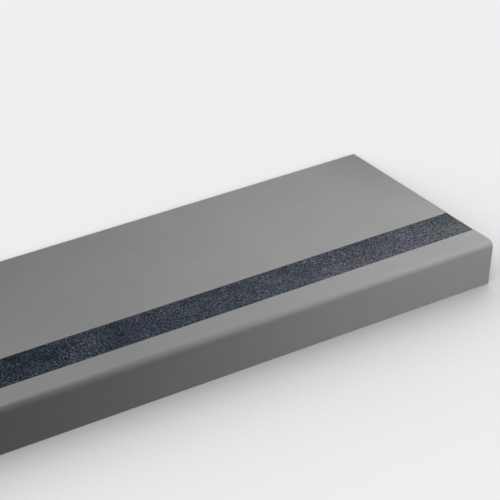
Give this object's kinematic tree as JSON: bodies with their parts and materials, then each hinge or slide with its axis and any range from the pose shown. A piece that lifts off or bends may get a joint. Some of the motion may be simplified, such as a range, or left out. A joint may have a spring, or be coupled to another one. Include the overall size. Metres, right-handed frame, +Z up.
{
  "type": "rubber stair tread",
  "caption": "Rubber stair tread with a tapered leaf, a short nose that turns down over the step's edge, and a grit strip set in a channel along its front.",
  "frame": {"origin": "on the floor under the middle of the tread, at the centre of its bounding box", "axes": "+X along the nose, +Y from the nose to the back edge, +Z up. The tread lies loose, so its leaf slopes down to the back by 10.9 degrees about X"},
  "size_m": [0.9144, 0.2772, 0.0571],
  "materials": {
    "rubber": "satin",
    "grit": "matte"
  },
  "bodies": {
    "root": {"rubber_tread": "rubber", "grit_strip": "grit"}
  },
  "joints": []
}
